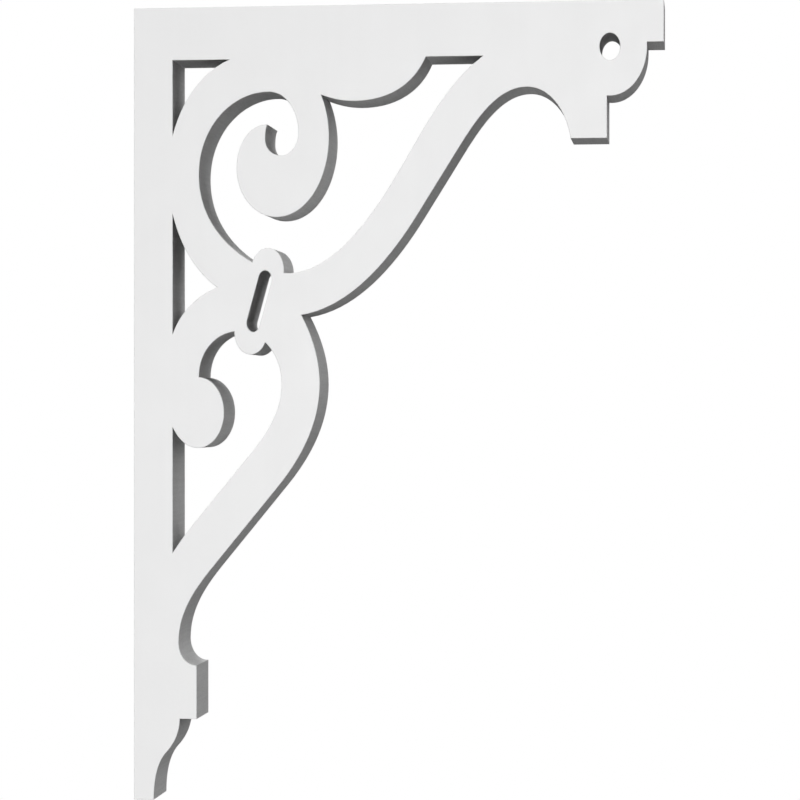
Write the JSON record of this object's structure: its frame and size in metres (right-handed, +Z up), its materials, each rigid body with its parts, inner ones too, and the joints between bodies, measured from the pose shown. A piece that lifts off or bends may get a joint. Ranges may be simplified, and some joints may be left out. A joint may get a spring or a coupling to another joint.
{
  "type": "scroll bracket",
  "caption": "White scroll-sawn PVC bracket for a porch or an eave: a leg and a rail joined by ring and ball scrolls and an S-shaped brace.",
  "frame": {"origin": "middle of the wall face, the flat back edge of the leg", "axes": "+X out from the wall, +Z up along the leg, Y through the board's thickness; the face seen in the picture looks towards -Y"},
  "size_m": [0.4064, 0.0508, 0.6096],
  "materials": {
    "bracket": "smooth satin white, as moulded sheet; cut edges a little rougher"
  },
  "bodies": {
    "root": {"bracket": "bracket"}
  },
  "joints": []
}
